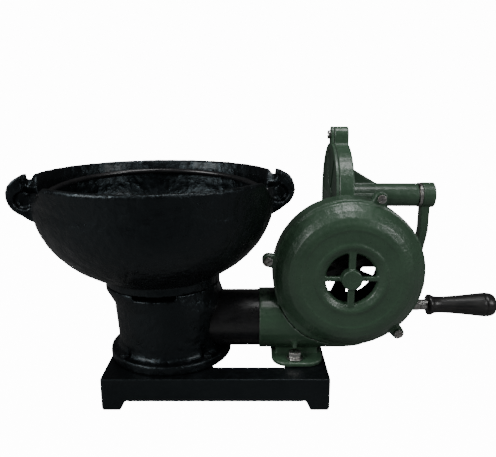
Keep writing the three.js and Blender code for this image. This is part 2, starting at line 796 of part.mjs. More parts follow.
/** A slotted cheese-head screw whose head rests on the face at y = seat and points to +Y. */
function coverScrew(angle, seat) {
  const headHeight = 3.6;
  const head = rod('y', 5.4, fromFan(lugCircle, angle, seat - gap - headHeight), headHeight);
  const shank = rod('y', 2.5, fromFan(lugCircle, angle, seat - gap - 1), coverLip + lugLength, 12);
  const [x, , z] = fromFan(lugCircle, angle, 0);
  const slot = block([-7, seat - gap - headHeight - past, -0.7], [7, seat - gap - headHeight + 1.4, 0.7]);
  return cut(union(head, shank), slot.rotate([0, -35, 0]).translate([x, 0, z]));
}

/** A plain bush on the fan's axis. */
function fanBush(fromY, length) {
  const bore = rod('y', fanShaftDiameter / 2 + runningFit, [fanX, fromY - past, fanZ], length + 2 * past);
  return cut(rod('y', bushRadius, [fanX, fromY, fanZ], length), bore);
}

/** A flat washer on the blower's foot. */
function footWasher(y) {
  const seat = onBase + blowerFootThickness;
  const bore = rod('z', footBoltDiameter / 2 + gap, [blowerFootX, y, seat - past], 2 + 3 * past);
  return cut(rod('z', footBoltDiameter + 1, [blowerFootX, y, seat + gap], 2), bore);
}

addPart('fan_case', fanCase(), paint);
addPart('fan_case_cover', fanCover(), paint);
lugAngles.forEach((angle, i) => {
  addPart(`cover_screw_${i + 1}`, coverScrew(angle, coverLipY), steel);
});
addPart('front_bush', fanBush(coverFaceY + 2 + gap, 10), bronze);
addPart('middle_bush', fanBush(caseBackY - 14, 13), bronze);
['front', 'rear'].forEach((place, i) => {
  const washerTop = onBase + blowerFootThickness + gap + 2;
  const length = blowerFootThickness + baseWall + 14;
  addPart(`foot_washer_${place}`, footWasher(footBoltYs[i]), steel);
  addPart(`foot_bolt_${place}`, bolt(blowerFootX, footBoltYs[i], washerTop, footBoltDiameter, 15, 7, length), steel);
  addPart(`foot_nut_${place}`, nut(blowerFootX, footBoltYs[i], underPlate, footBoltDiameter, 16, 8), steel);
});

// ---------------------------------------------------------------- fan shaft, impeller and worm

const fanShaftRadius = fanShaftDiameter / 2;
const fanShaftFrontY = coverFaceY + 2 + 2 * gap;
const wormTubeBore = wormTubeRadius - wormTubeWall;
const wormEndBushY = wormTubeBackY - wormTubeWall - 14;
const fanShaftBackY = wormTubeBackY - wormTubeWall - 1;
const impellerHubRadius = 12;
const wormLead = wormTeethAxial * wormStarts;
const addendum = 0.7 * gearModule;
const dedendum = 1.1 * gearModule;

/** A toothed prism along +Y that turns as it goes, from a section repeated once for each tooth. */
function twistedPrism(teeth, tipRadius, rootRadius, tipShare, rootShare, length, turnPerMm, slices) {
  const pitchAngle = 2 * Math.PI / teeth;
  const section = [[rootRadius, -rootShare], [tipRadius, -tipShare], [tipRadius, tipShare], [rootRadius, rootShare]];
  const ring = Array.from({ length: teeth }, (_, tooth) => section.map(([radius, share]) => (
    [radius, (tooth + share / 2) * pitchAngle]
  ))).flat();
  const count = ring.length;
  const points = [];
  const corners = [];
  for (let slice = 0; slice <= slices; slice += 1) {
    const y = length * (slice / slices - 0.5);
    ring.forEach(([radius, angle]) => {
      const turned = angle + y * turnPerMm;
      points.push(radius * Math.cos(turned), y, radius * Math.sin(turned));
    });
  }
  for (let slice = 0; slice < slices; slice += 1) {
    for (let i = 0; i < count; i += 1) {
      const here = slice * count + i;
      const next = slice * count + (i + 1) % count;
      corners.push(here, here + count, next, next, here + count, next + count);
    }
  }
  const front = points.length / 3;
  points.push(0, -length / 2, 0, 0, length / 2, 0);
  for (let i = 0; i < count; i += 1) {
    const j = (i + 1) % count;
    corners.push(front, i, j, front + 1, slices * count + j, slices * count + i);
  }
  const geometry = new THREE.BufferGeometry();
  geometry.setAttribute('position', new THREE.Float32BufferAttribute(points, 3));
  geometry.setIndex(corners);
  return geometry;
}

function worm() {
  const turnPerMm = 2 * Math.PI / wormLead;
  const tip = wormPitchRadius + addendum;
  const root = wormPitchRadius - dedendum;
  const thread = twistedPrism(wormStarts, tip, root, 0.2, 0.5, wormLength, turnPerMm, 14);
  thread.rotateY(Math.PI / wormStarts).translate(fanX, gearCaseY, fanZ);
  const start = [fanX, gearCaseY - wormLength / 2 - past, fanZ];
  return cut(solid(thread), rod('y', fanShaftRadius + gap, start, wormLength + 2 * past));
}

function impeller() {
  const bladeFoot = impellerRadius * 0.5;
  const half = bladeThickness / 2;
  const hub = rod('y', impellerHubRadius, [0, -12, 0], impellerBackY + 8, 24);
  const vanes = Array.from({ length: bladeCount }, (_, i) => union(
    block([bladeFoot, impellerFrontY, -half], [impellerRadius, impellerBackY, half]),
    block([0, -9, -4], [impellerRadius - 4, -4, 4]),
  ).rotate([0, 360 * (i + 0.5) / bladeCount, 0]));
  const bore = rod('y', fanShaftRadius + gap, [0, -20, 0], 40);
  return cut(union(hub, ...vanes), bore).translate([fanX, 0, fanZ]);
}

addPart('fan_shaft', rod('y', fanShaftRadius, [fanX, fanShaftFrontY, fanZ], fanShaftBackY - fanShaftFrontY), steel);
addPart('impeller', impeller(), steel);
addPart('worm', worm(), bronze);

// ---------------------------------------------------------------- gear case

const crankAxis = [0, gearCaseY, crankZ];
const gearBodyX = gearCoverRightX + gap;
const gearBodyWidth = gearCaseRightX - gearBodyX;
const gearLugCircle = topLugZ - crankZ;
const gearLugAngles = [90, -40];
const wormTubeFrontY = caseBackY + gap;
const wormFlangeThickness = 6;
const crankBushLength = 14;
const crankTubeBoreRadius = crankTubeBore / 2;

/** A cylinder on the crank's axis. */
const onCrank = (radius, x, length, facets = medium) => rod('x', radius, [x, gearCaseY, crankZ], length, facets);

/** A point round the crank's axis, with the angle measured from +Y toward +Z. */
const fromCrank = (distance, angle, x) => [
  x,
  gearCaseY + distance * Math.cos(radians(angle)),
  crankZ + distance * Math.sin(radians(angle)),
];

/** A lug on the gear case's edge for one of the screws of its cover. */
function gearLug(angle, x, length) {
  const arm = block([x, gearCaseRadius - 2, -topLugRadius], [x + length, gearLugCircle, topLugRadius]);
  const placed = arm.rotate([angle, 0, 0]).translate([0, gearCaseY, crankZ]);
  return union(placed, rod('x', topLugRadius, fromCrank(gearLugCircle, angle, x), length, 24));
}

/** A triangular stiffener between the gear case and the crank tube, turned round the tube. */
function gusset(angle) {
  const low = crankTubeRadius - 2;
  const outline = [
    [gearCaseRightX - 1, low],
    [gearCaseRightX + gussetLength, low],
    [gearCaseRightX + gussetLength, crankTubeRadius],
    [gearCaseRightX, crankTubeRadius + gussetHeight],
    [gearCaseRightX - 1, crankTubeRadius + gussetHeight],
  ];
  const rib = plateXZ(outline, -gussetThickness / 2, gussetThickness);
  return rib.rotate([angle, 0, 0]).translate([0, gearCaseY, crankZ]);
}

function gearCase() {
  const wormTubeLength = wormTubeBackY - wormTubeFrontY;
  const outside = union(
    onCrank(gearCaseRadius, gearBodyX, gearBodyWidth, fine),
    rod('y', wormTubeRadius, [fanX, wormTubeFrontY, fanZ], wormTubeLength, medium),
    rod('y', rearWindowInner - 1, [fanX, wormTubeFrontY, fanZ], wormFlangeThickness, medium),
    onCrank(crankTubeRadius, gearCaseRightX - 1, crankTubeEndX - gearCaseRightX + 1),
    ...[0, 90, 180, 270].map(gusset),
    ...gearLugAngles.map((angle) => gearLug(angle, gearBodyX, gearBodyWidth)),
  );
  const gearRoom = onCrank(gearCaseRadius - gearCaseWall, gearCoverRightX, gearCaseRightX - gearCaseWall - gearCoverRightX, fine);
  const wormRoom = rod('y', wormTubeBore, [fanX, wormTubeFrontY - past, fanZ], wormTubeLength - wormTubeWall + past, medium);
  const crankBore = onCrank(crankTubeBoreRadius, gearCaseRightX - gearCaseWall - past, crankTubeEndX);
  const flangeHoles = caseBoltAngles.map((angle) => (
    rod('y', 2.5 + gap, fromFan(caseBoltCircle, angle, wormTubeFrontY - past), wormFlangeThickness + 2 * past, 12)
  ));
  const screwHoles = gearLugAngles.map((angle) => (
    rod('x', 2.5 + gap, fromCrank(gearLugCircle, angle, gearBodyX - past), gearBodyWidth + 2 * past, 12)
  ));
  return cut(outside, gearRoom, wormRoom, crankBore, ...flangeHoles, ...screwHoles);
}

/** The gear case's left cover: a raised rim, a recessed web with ribs and a boss in the middle. */
function gearCover() {
  const webX = gearCaseLeftX + 1.3;
  const rimWidth = 9;
  const face = [
    onCrank(gearCaseRadius, webX, gearCoverRightX - webX, fine),
    cut(
      onCrank(gearCaseRadius, gearCaseLeftX, gearCoverThickness, fine),
      onCrank(gearCaseRadius - rimWidth, gearCaseLeftX - past, gearCoverThickness + 2 * past, fine),
    ),
    onCrank(wheelHubRadius, gearCaseLeftX, gearCoverThickness, 32),
  ];
  const ribs = [0, 60, 120].map((angle) => {
    const reach = gearCaseRadius - rimWidth / 2;
    const rib = block([gearCaseLeftX, -reach, -2.5], [gearCoverRightX, reach, 2.5]);
    return rib.rotate([angle, 0, 0]).translate([0, gearCaseY, crankZ]);
  });
  const lugs = gearLugAngles.map((angle) => gearLug(angle, gearCaseLeftX, gearCoverThickness));
  const holes = gearLugAngles.map((angle) => (
    rod('x', 2.5 + throughHole, fromCrank(gearLugCircle, angle, gearCaseLeftX - past), gearCoverThickness + 2 * past, 12)
  ));
  const besideTube = rod('y', wormTubeRadius + gap, [fanX, wormTubeFrontY, fanZ], wormTubeBackY, medium);
  return cut(union(...face, ...ribs, ...lugs), besideTube, ...holes);
}

/** A slotted screw whose head rests on the gear cover and points to +X. */
function gearCoverScrew(angle) {
  const headLength = 4;
  const headX = gearCaseLeftX - gap - headLength;
  const [, y, z] = fromCrank(gearLugCircle, angle, 0);
  const body = union(
    rod('x', 6, [headX, y, z], headLength),
    rod('x', 2.5, [headX + 1, y, z], headLength + gearCoverThickness + 14, 12),
  );
  return cut(body, block([headX - past, y - 7, z - 0.8], [headX + 1.5, y + 7, z + 0.8]));
}

/** A hexagon bolt from inside the fan case into the worm tube's flange. */
function gearCaseBolt(angle) {
  const headLength = 3.5;
  const seat = caseBackY - caseWall - gap;
  return union(
    hexagon('y', 8, fromFan(caseBoltCircle, angle, seat - headLength), headLength),
    rod('y', 2.5, fromFan(caseBoltCircle, angle, seat - 1), caseWall + wormFlangeThickness, 12),
  );
}

/** A plain bush inside the crank tube. */
function crankBush(x) {
  const bore = onCrank(crankshaftDiameter / 2 + runningFit, x - past, crankBushLength + 2 * past, 24);
  return cut(onCrank(crankTubeBoreRadius - gap, x, crankBushLength, medium), bore);
}

function wormEndBush() {
  const bore = rod('y', fanShaftRadius + runningFit, [fanX, wormEndBushY - past, fanZ], 14);
  return cut(rod('y', wormTubeBore - gap, [fanX, wormEndBushY, fanZ], 10, medium), bore);
}

addPart('gear_case', gearCase(), paint);
addPart('gear_cover', gearCover(), paint);
gearLugAngles.forEach((angle, i) => addPart(`gear_cover_screw_${i + 1}`, gearCoverScrew(angle), steel));
caseBoltAngles.forEach((angle, i) => addPart(`gear_case_bolt_${i + 1}`, gearCaseBolt(angle), steel));
addPart('worm_end_bush', wormEndBush(), bronze);
addPart('crank_bush_left', crankBush(gearCaseRightX), bronze);
addPart('crank_bush_right', crankBush(crankTubeEndX - crankBushLength), bronze);

// ---------------------------------------------------------------- crankshaft, worm wheel, arm and grip

const crankshaftRadius = crankshaftDiameter / 2;
const wheelLeftX = fanX - wheelWidth / 2;
const gripStudRadius = gripStudDiameter / 2;
const studLeftX = armEndRightX - crankArmEndWidth - 3;
const gripBoreEnd = 14;

function wormWheel() {
  const tip = wheelPitchRadius + addendum;
  const root = wheelPitchRadius - dedendum;
  const slope = wormLead / (2 * Math.PI * wormPitchRadius);
  const turnPerMm = slope / wheelPitchRadius;
  const rim = twistedPrism(wheelTeeth, tip, root, 0.16, 0.5, wheelWidth, turnPerMm, 1);
  alongAxis(rim, 'x').rotateX(-Math.PI / 2).translate(fanX, gearCaseY, crankZ);
  const hubLength = gearCaseRightX - gearCaseWall - gap - wheelLeftX;
  const blank = union(solid(rim), onCrank(wheelHubRadius, wheelLeftX, hubLength, 32));
  const bore = onCrank(crankshaftRadius + gap, wheelLeftX - past, hubLength + 2 * past, 24);
  const lightening = [0, 60, 120, 180, 240, 300].map((angle) => (
    rod('x', 12, fromCrank(40, angle, wheelLeftX - past), wheelWidth + 2 * past)
  ));
  return cut(blank, bore, ...lightening);
}

/** A flat bar that bends toward the case on its way down to the grip. */
function crankArm() {
  const right = crankBossX + crankArmTopWidth;
  const bendTop = crankZ - crankRadius * 0.3;
  const bendEnd = crankZ - crankRadius * 0.72;
  const endZ = gripZ - 13;
  const side = plateXZ([
    [crankBossX, crankZ],
    [crankBossX, bendTop],
    [armEndRightX - crankArmEndWidth, bendEnd],
    [armEndRightX - crankArmEndWidth, endZ],
    [armEndRightX, endZ],
    [armEndRightX, bendEnd],
    [right, bendTop],
    [right, crankZ],
  ], gearCaseY - crankArmDepth / 2, crankArmDepth);
  const front = union(
    plateYZ([
      [gearCaseY - crankArmDepth / 2, crankZ],
      ...arc(gearCaseY, gripZ, crankArmDepth / 2, crankArmDepth / 2, 180, 360, 10),
      [gearCaseY + crankArmDepth / 2, crankZ],
    ], armEndRightX - 40, 80),
  );
  const boss = onCrank(crankBossDiameter / 2, crankBossX, crankBossLength, 32);
  const shaftBore = onCrank(crankshaftRadius + gap, crankBossX - past, crankBossLength + 2 * past, 24);
  const studBore = rod('x', gripStudRadius + gap, [studLeftX - 20, gearCaseY, gripZ], 60);
  return cut(union(side.intersect(front), boss), shaftBore, studBore);
}

/** A ring on the grip's axis. */
function onGrip(radius, x, length, facets = 24) {
  return rod('x', radius, [x, gearCaseY, gripZ], length, facets);
}

function crankGrip() {
  const flange = gripFlangeDiameter / 2;
  const waist = gripWaistDiameter / 2;
  const belly = gripMaxDiameter / 2;
  const outline = [
    [0, 0], [flange - 1, 0], [flange, 1], [flange, 5], [flange - 2, 6.5],
    [waist + 0.4, 11], [waist, 17], [waist + 1.2, 30], [waist + 3, 48],
    [belly - 1.2, 70], [belly - 0.2, 80], [belly, 86], [belly - 0.7, 93],
    [belly - 3.5, 98.5], [belly - 8, gripLength - 0.6], [0, gripLength],
  ];
  const body = turned('x', outline, [gripX, gearCaseY, gripZ], 20);
  return cut(body, onGrip(gripStudRadius + runningFit, gripX - past, gripLength - gripBoreEnd + past));
}

addPart('crankshaft', onCrank(crankshaftRadius, wheelLeftX, crankBossX + crankBossLength - wheelLeftX, 24), steel);
addPart('worm_wheel', wormWheel(), bronze);
addPart('thrust_collar', cut(
  onCrank(17.5, crankTubeEndX + gap, crankCollarWidth, 32),
  onCrank(crankshaftRadius + gap, crankTubeEndX, crankCollarWidth + 2 * past, 24),
), steel);
addPart('crank_arm', crankArm(), paint);
addPart('grip_stud', onGrip(gripStudRadius, studLeftX, gripX + gripLength - gripBoreEnd - 2 - studLeftX, 20), steel);
addPart('grip_nut', cut(
  hexagon('x', gripNutFlats, [gripNutX, gearCaseY, gripZ], gripNutThickness),
  onGrip(gripStudRadius + gap, gripNutX - past, gripNutThickness + 2 * past, 20),
), steel);
addPart('grip_collar', cut(
  onGrip(8, gripCollarX, gripCollarWidth),
  onGrip(gripStudRadius + gap, gripCollarX - past, gripCollarWidth + 2 * past, 20),
), steel);
addPart('crank_grip', crankGrip(), blackGrip);

// ---------------------------------------------------------------- the middle of the base is the origin

forge.updateMatrixWorld(true);
const bounds = new THREE.Box3().setFromObject(forge, true);
const middle = bounds.getCenter(new THREE.Vector3());
forge.children.forEach((child) => child.position.sub(new THREE.Vector3(middle.x, middle.y, bounds.min.z)));

export default forge;
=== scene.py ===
# %% [markdown]
# # A coal forge with a hand-cranked blower
# The forge is mostly castings: a fire bowl, a hollow pedestal, a base frame and the blower's cases.
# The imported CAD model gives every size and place.  This lesson adds what a casting has and a CAD
# solid lacks: rounded edges, a slightly lumpy skin, worn paint and metal with a grain.

# %% Load the fixed frame
import json
import math
import bpy
from mathutils import Matrix, Vector
from mathutils.bvhtree import BVHTree


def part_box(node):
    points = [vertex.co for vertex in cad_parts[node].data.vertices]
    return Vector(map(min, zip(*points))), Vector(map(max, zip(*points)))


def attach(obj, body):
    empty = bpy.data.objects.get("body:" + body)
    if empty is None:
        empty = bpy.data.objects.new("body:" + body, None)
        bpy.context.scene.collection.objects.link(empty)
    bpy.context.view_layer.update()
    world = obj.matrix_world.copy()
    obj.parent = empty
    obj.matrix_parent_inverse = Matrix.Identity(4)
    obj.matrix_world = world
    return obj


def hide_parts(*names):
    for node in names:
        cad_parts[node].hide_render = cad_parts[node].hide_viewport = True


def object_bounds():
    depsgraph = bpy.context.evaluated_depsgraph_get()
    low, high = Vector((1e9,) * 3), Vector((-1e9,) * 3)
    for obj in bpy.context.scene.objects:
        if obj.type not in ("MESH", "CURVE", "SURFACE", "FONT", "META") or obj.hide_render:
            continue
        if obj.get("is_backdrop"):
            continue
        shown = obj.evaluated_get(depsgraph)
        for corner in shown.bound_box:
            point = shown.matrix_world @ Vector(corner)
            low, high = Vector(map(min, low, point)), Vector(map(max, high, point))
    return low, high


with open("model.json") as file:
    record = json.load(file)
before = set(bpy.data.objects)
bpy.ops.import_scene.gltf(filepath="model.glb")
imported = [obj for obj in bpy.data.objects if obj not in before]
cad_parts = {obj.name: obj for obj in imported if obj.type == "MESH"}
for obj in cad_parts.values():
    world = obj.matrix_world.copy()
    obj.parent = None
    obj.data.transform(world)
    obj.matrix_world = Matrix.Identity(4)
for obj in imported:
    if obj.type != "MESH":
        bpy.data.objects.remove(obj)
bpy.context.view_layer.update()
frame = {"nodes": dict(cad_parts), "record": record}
MM = 0.001
record = frame["record"]
slot_of = {entry["node"]: entry["material_slot"] for entry in record["subparts"]}
body_of = {node: body for body, nodes in record["behaviour"]["bodies"].items() for node in nodes}
joint_at = {j["name"]: Vector(j["pos_m"]) for j in record["behaviour"]["joints"]}
joint_axis = {j["name"]: Vector(j["axis"]) for j in record["behaviour"]["joints"]}
bowl_centre = joint_at["bail_swing"]
fan_centre = joint_at["fan_turn"]
grip_centre = joint_at["grip_turn"]

# %% [markdown]
# ## Camera
# The forge is seen from the front, a little above it and a little to the right of the bowl.  A lens
# close to 40 mm from two thirds of a metre gives a strong perspective, so the rim reads as a wide oval.

# %% Camera
camera_data = bpy.data.cameras.new("camera")
camera_data.lens = 39.77
camera_data.sensor_width = 36
CAMERA_PLACE = (-40.4, -691.3, 372.0)
CAMERA_TILT = 76.3
camera = bpy.data.objects.new("camera", camera_data)
bpy.context.scene.collection.objects.link(camera)
camera.location = Vector(CAMERA_PLACE) * MM
camera.rotation_euler = (math.radians(CAMERA_TILT), 0, 0)
bpy.context.scene.camera = camera
print("camera", [round(v, 3) for v in camera.location])

# %% [markdown]
# ## Helpers for selecting and finishing
# Operators act on everything that is selected, so each step starts from an empty selection.  A
# finished piece rides on its body and takes the finish it is given.


# %% Select one piece
def only(piece):
    bpy.ops.object.select_all(action="DESELECT")
    piece.select_set(True)
    bpy.context.view_layer.objects.active = piece
    return piece


def apply_all(piece):
    only(piece)
    for modifier in list(piece.modifiers):
        bpy.ops.object.modifier_apply(modifier=modifier.name)


# %% Hand a finished piece over to its body, with its finish
def finished(piece, finish, *nodes, smooth_angle=None):
    only(piece)
    bpy.ops.object.transform_apply(location=True, rotation=True, scale=True)
    if smooth_angle is None:
        bpy.ops.object.shade_smooth()
    else:
        bpy.ops.object.shade_smooth_by_angle(angle=math.radians(smooth_angle))
    piece.data.materials.clear()
    piece.data.materials.append(finish)
    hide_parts(*nodes)
    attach(piece, body_of[nodes[0]])
    print(piece.name, len(piece.data.polygons), "faces for", ", ".join(nodes))
    return piece


# %% [markdown]
# ## Paint and metal
# Every finish is made of noise at two or three scales: broad patches for uneven colour, a middle
# scale for the sand-cast skin, and a fine one for the grain.  The patterns read Object coordinates,
# so they stay on the piece when it moves.


# %% A finish with room for patterns
class Finish:
    def __init__(self, name, metallic=0.0, coat=0.0, coat_roughness=0.2):
        self.material = bpy.data.materials.new(name)
        self.material.use_nodes = True
        self.tree = self.material.node_tree
        self.shader = self.tree.nodes["Principled BSDF"]
        self.shader.inputs["Metallic"].default_value = metallic
        self.shader.inputs["Coat Weight"].default_value = coat
        self.shader.inputs["Coat Roughness"].default_value = coat_roughness
        self.place = self.tree.nodes.new("ShaderNodeTexCoord").outputs["Object"]
        self.height = None

    def link(self, source, target):
        self.tree.links.new(source, target)

    def noise(self, scale, detail=4.0, stretch=(1, 1, 1)):
        mapping = self.tree.nodes.new("ShaderNodeMapping")
        mapping.inputs["Scale"].default_value = stretch
        texture = self.tree.nodes.new("ShaderNodeTexNoise")
        texture.inputs["Scale"].default_value = scale
        texture.inputs["Detail"].default_value = detail
        self.link(self.place, mapping.inputs["Vector"])
        self.link(mapping.outputs["Vector"], texture.inputs["Vector"])
        return texture.outputs["Fac"]

    def ramp(self, source, stops):
        node = self.tree.nodes.new("ShaderNodeValToRGB")
        first, last = node.color_ramp.elements
        first.position, first.color = stops[0][0], (*stops[0][1], 1)
        last.position, last.color = stops[-1][0], (*stops[-1][1], 1)
        for position, colour in stops[1:-1]:
            node.color_ramp.elements.new(position).color = (*colour, 1)
        self.link(source, node.inputs["Fac"])
        return node.outputs["Color"]

    def spread(self, source, low, high, start=0.3, end=0.7):
        node = self.tree.nodes.new("ShaderNodeMapRange")
        node.inputs["From Min"].default_value = start
        node.inputs["From Max"].default_value = end
        node.inputs["To Min"].default_value = low
        node.inputs["To Max"].default_value = high
        self.link(source, node.inputs["Value"])
        return node.outputs["Result"]

    def mix(self, share, below, above):
        node = self.tree.nodes.new("ShaderNodeMix")
        node.data_type = "RGBA"
        self.link(share, node.inputs["Factor"])
        colour_inputs = [s for s in node.inputs if s.type == "RGBA"]
        self.link(below, colour_inputs[0])
        colour_inputs[1].default_value = (*above, 1)
        return [s for s in node.outputs if s.type == "RGBA"][0]

    def times(self, one, other):
        node = self.tree.nodes.new("ShaderNodeMath")
        node.operation = "MULTIPLY"
        self.link(one, node.inputs[0])
        self.link(other, node.inputs[1])
        return node.outputs[0]

    def edges(self, start=0.51, end=0.56):
        geometry = self.tree.nodes.new("ShaderNodeNewGeometry")
        return self.spread(geometry.outputs["Pointiness"], 0.0, 1.0, start, end)

    def colour(self, source):
        self.link(source, self.shader.inputs["Base Color"])

    def roughness(self, source):
        self.link(source, self.shader.inputs["Roughness"])

    def bump(self, source, depth):
        node = self.tree.nodes.new("ShaderNodeBump")
        node.inputs["Distance"].default_value = depth
        self.link(source, node.inputs["Height"])
        if self.height is not None:
            self.link(self.height, node.inputs["Normal"])
        self.height = node.outputs["Normal"]
        self.link(self.height, self.shader.inputs["Normal"])


# %% [markdown]
# ### Black castings
# The bowl, pedestal and base are sand castings brushed with black paint.  The skin is lumpy, and the
# paint is shiny on the lumps and dull in the hollows, so the noise that makes the bump also drives
# the roughness.


# %% Black cast iron
def cast_black(name, lump, lump_depth, gloss):
    finish = Finish(name, coat=0.14, coat_roughness=0.2)
    lumps = finish.noise(lump, 5)
    patches = finish.noise(28, 3)
    body = finish.ramp(patches, [(0.3, (0.0011, 0.0012, 0.0014)), (0.7, (0.003, 0.0033, 0.0038))])
    worn = finish.times(finish.edges(), finish.spread(finish.noise(90), 0.0, 0.5))
    finish.colour(finish.mix(worn, body, (0.011, 0.012, 0.013)))
    finish.roughness(finish.spread(lumps, gloss, gloss + 0.26))
    finish.shader.inputs["Specular IOR Level"].default_value = 0.34
    finish.shader.inputs["Specular Tint"].default_value = (0.7, 0.9, 1, 1)
    finish.bump(lumps, lump_depth)
    finish.bump(finish.noise(620, 3), 0.00018)
    return finish.material


bowl_iron = cast_black("bowl_iron", 92, 0.0026, 0.24)
base_paint = cast_black("base_paint", 210, 0.0006, 0.34)
print("black castings", bowl_iron.name, base_paint.name)

# %% [markdown]
# ### Green enamel
# The blower is painted a grey green over cast metal.  The paint is smoother than the bowl's, it has
# thin spots on the edges where the primer shows, and its hollows are darkened with painted shade.


# %% Green enamel
def enamel():
    finish = Finish("green_enamel", coat=0.25, coat_roughness=0.22)
    patches = finish.noise(20, 4)
    skin = finish.noise(260, 4)
    body = finish.ramp(patches, [(0.3, (0.032, 0.066, 0.039)), (0.5, (0.039, 0.080, 0.047)),
                                 (0.72, (0.048, 0.096, 0.057))])
    # painted shade: the green is darkened in concave hollows, broken up by noise
    hollow_shade = finish.times(finish.edges(0.49, 0.44), finish.spread(finish.noise(60), 0.2, 0.9))
    shaded_green = finish.mix(hollow_shade, body, (0.010, 0.016, 0.012))
    worn = finish.times(finish.edges(0.52, 0.58), finish.spread(finish.noise(140), 0.0, 0.8, 0.42, 0.6))
    finish.colour(finish.mix(worn, shaded_green, (0.15, 0.19, 0.16)))
    finish.roughness(finish.spread(skin, 0.27, 0.46))
    finish.bump(skin, 0.0005)
    finish.bump(finish.noise(70, 2), 0.0009)
    return finish.material


green_enamel = enamel()

# %% [markdown]
# ### Bare metal and the grip
# Turned steel has fine rings, so its noise is squeezed along one axis.  Bronze is darker where oil
# stays.  The grip is turned and stained black with a satin sheen.


# %% Metals
def metal(name, dark, light, low, high, stain):
    finish = Finish(name, metallic=1.0)
    grain = finish.noise(900, 2, (1, 0.08, 0.08))
    patches = finish.noise(110, 5)
    body = finish.ramp(grain, [(0.35, dark), (0.65, light)])
    finish.colour(finish.mix(finish.spread(patches, 0.0, 0.65, 0.5, 0.75), body, stain))
    finish.roughness(finish.spread(patches, low, high))
    finish.bump(grain, 0.00006)
    return finish.material


steel = metal("worn_steel", (0.30, 0.30, 0.29), (0.58, 0.58, 0.56), 0.22, 0.45, (0.13, 0.09, 0.06))
bronze = metal("oiled_bronze", (0.36, 0.22, 0.08), (0.56, 0.37, 0.15), 0.25, 0.48, (0.12, 0.07, 0.03))


# %% Satin black tube, and the turned grip
def satin_black(name, light, gloss, stretch):
    finish = Finish(name, coat=0.2, coat_roughness=0.25)
    grain = finish.noise(340, 4, stretch)
    finish.colour(finish.ramp(grain, [(0.3, (0.006, 0.006, 0.007)), (0.7, light)]))
    finish.roughness(finish.spread(finish.noise(60), gloss, gloss + 0.16))
    finish.bump(grain, 0.00012)
    return finish.material


tube_black = satin_black("tube_black", (0.014, 0.014, 0.015), 0.24, (0.4, 1, 1))
grip_black = satin_black("grip_black", (0.030, 0.029, 0.028), 0.30, (0.12, 1, 1))
finish_of = {"blower_paint": green_enamel, "cast_black": bowl_iron, "black_steel": tube_black,
             "steel": steel, "bronze": bronze, "grip_black": grip_black}
for node, obj in frame["nodes"].items():
    obj.data.materials.clear()
    obj.data.materials.append(finish_of[slot_of[node]])
print("finishes", len(bpy.data.materials))

# %% [markdown]
# ## Turning a shape
# Most round pieces start as a circle, and the ring is extruded, moved and scaled again and again,
# as on a lathe.  A closed outline ends by bridging the last ring to the first.


# %% Turn an outline round an axis
def turned(name, outline, centre, axis, steps=128, capped=False):
    bpy.ops.object.select_all(action="DESELECT")
    radius, along = outline[0]
    bpy.ops.mesh.primitive_circle_add(vertices=steps, radius=radius * MM, location=(0, 0, along * MM))
    piece = bpy.context.object
    piece.name = name
    bpy.ops.object.transform_apply(location=True)
    bpy.ops.object.mode_set(mode="EDIT")
    bpy.ops.mesh.select_all(action="SELECT")
    for (radius, along), (next_radius, next_along) in zip(outline, outline[1:]):
        bpy.ops.mesh.extrude_edges_move(
            TRANSFORM_OT_translate={"value": (0, 0, (next_along - along) * MM)})
        share = next_radius / radius
        bpy.ops.transform.resize(value=(share, share, 1), center_override=(0, 0, next_along * MM))
    if capped:
        bpy.ops.mesh.edge_face_add()
        bpy.ops.mesh.select_all(action="DESELECT")
        bpy.ops.mesh.select_mode(type="EDGE")
        bpy.ops.mesh.select_non_manifold()
        bpy.ops.mesh.edge_face_add()
    else:
        bpy.ops.mesh.select_all(action="DESELECT")
        bpy.ops.mesh.select_mode(type="EDGE")
        bpy.ops.mesh.select_non_manifold()
        bpy.ops.mesh.bridge_edge_loops()
    bpy.ops.mesh.select_all(action="SELECT")
    bpy.ops.mesh.normals_make_consistent(inside=False)
    bpy.ops.object.mode_set(mode="OBJECT")
    turn = {"x": Matrix.Rotation(math.pi / 2, 4, "Y"), "y": Matrix.Rotation(-math.pi / 2, 4, "X"),
            "z": Matrix.Identity(4)}[axis]
    piece.data.transform(Matrix.Translation(centre) @ turn)
    return piece


def ellipse(across, down, centre, start, end, count=24):
    angles = [math.radians(start + (end - start) * i / count) for i in range(count + 1)]
    return [(across * math.cos(a), centre + down * math.sin(a)) for a in angles]


# %% [markdown]
# ## Castings
# A casting has no sharp edges, because its mould was sand.  A copy of the CAD node is welded,
# rebuilt with small even faces, which rounds its edges, and pushed in and out by soft clouds.  Where
# the CAD outline is made of short flats, the skin is first laid on a finely turned guide.


# %% Copy and weld a CAD node
def welded(node, name):
    piece = bpy.data.objects.new(name, frame["nodes"][node].data.copy())
    bpy.context.scene.collection.objects.link(piece)
    only(piece)
    bpy.ops.object.mode_set(mode="EDIT")
    bpy.ops.mesh.select_all(action="SELECT")
    bpy.ops.mesh.remove_doubles(threshold=0.00001)
    bpy.ops.object.mode_set(mode="OBJECT")
    return piece


# %% Lay the skin on finely turned guides
def laid_on(piece, guides, reach):
    for guide in guides:
        tree = BVHTree.FromObject(guide, bpy.context.evaluated_depsgraph_get())
        for vertex in piece.data.vertices:
            place, _, _, _ = tree.find_nearest(vertex.co, reach)
            if place is not None:
                vertex.co = place
        bpy.data.objects.remove(guide)
    return piece


# %% Rebuild a node as a casting
clouds = bpy.data.textures.new("casting_clouds", "CLOUDS")
clouds.noise_scale = 0.013
clouds.noise_depth = 3


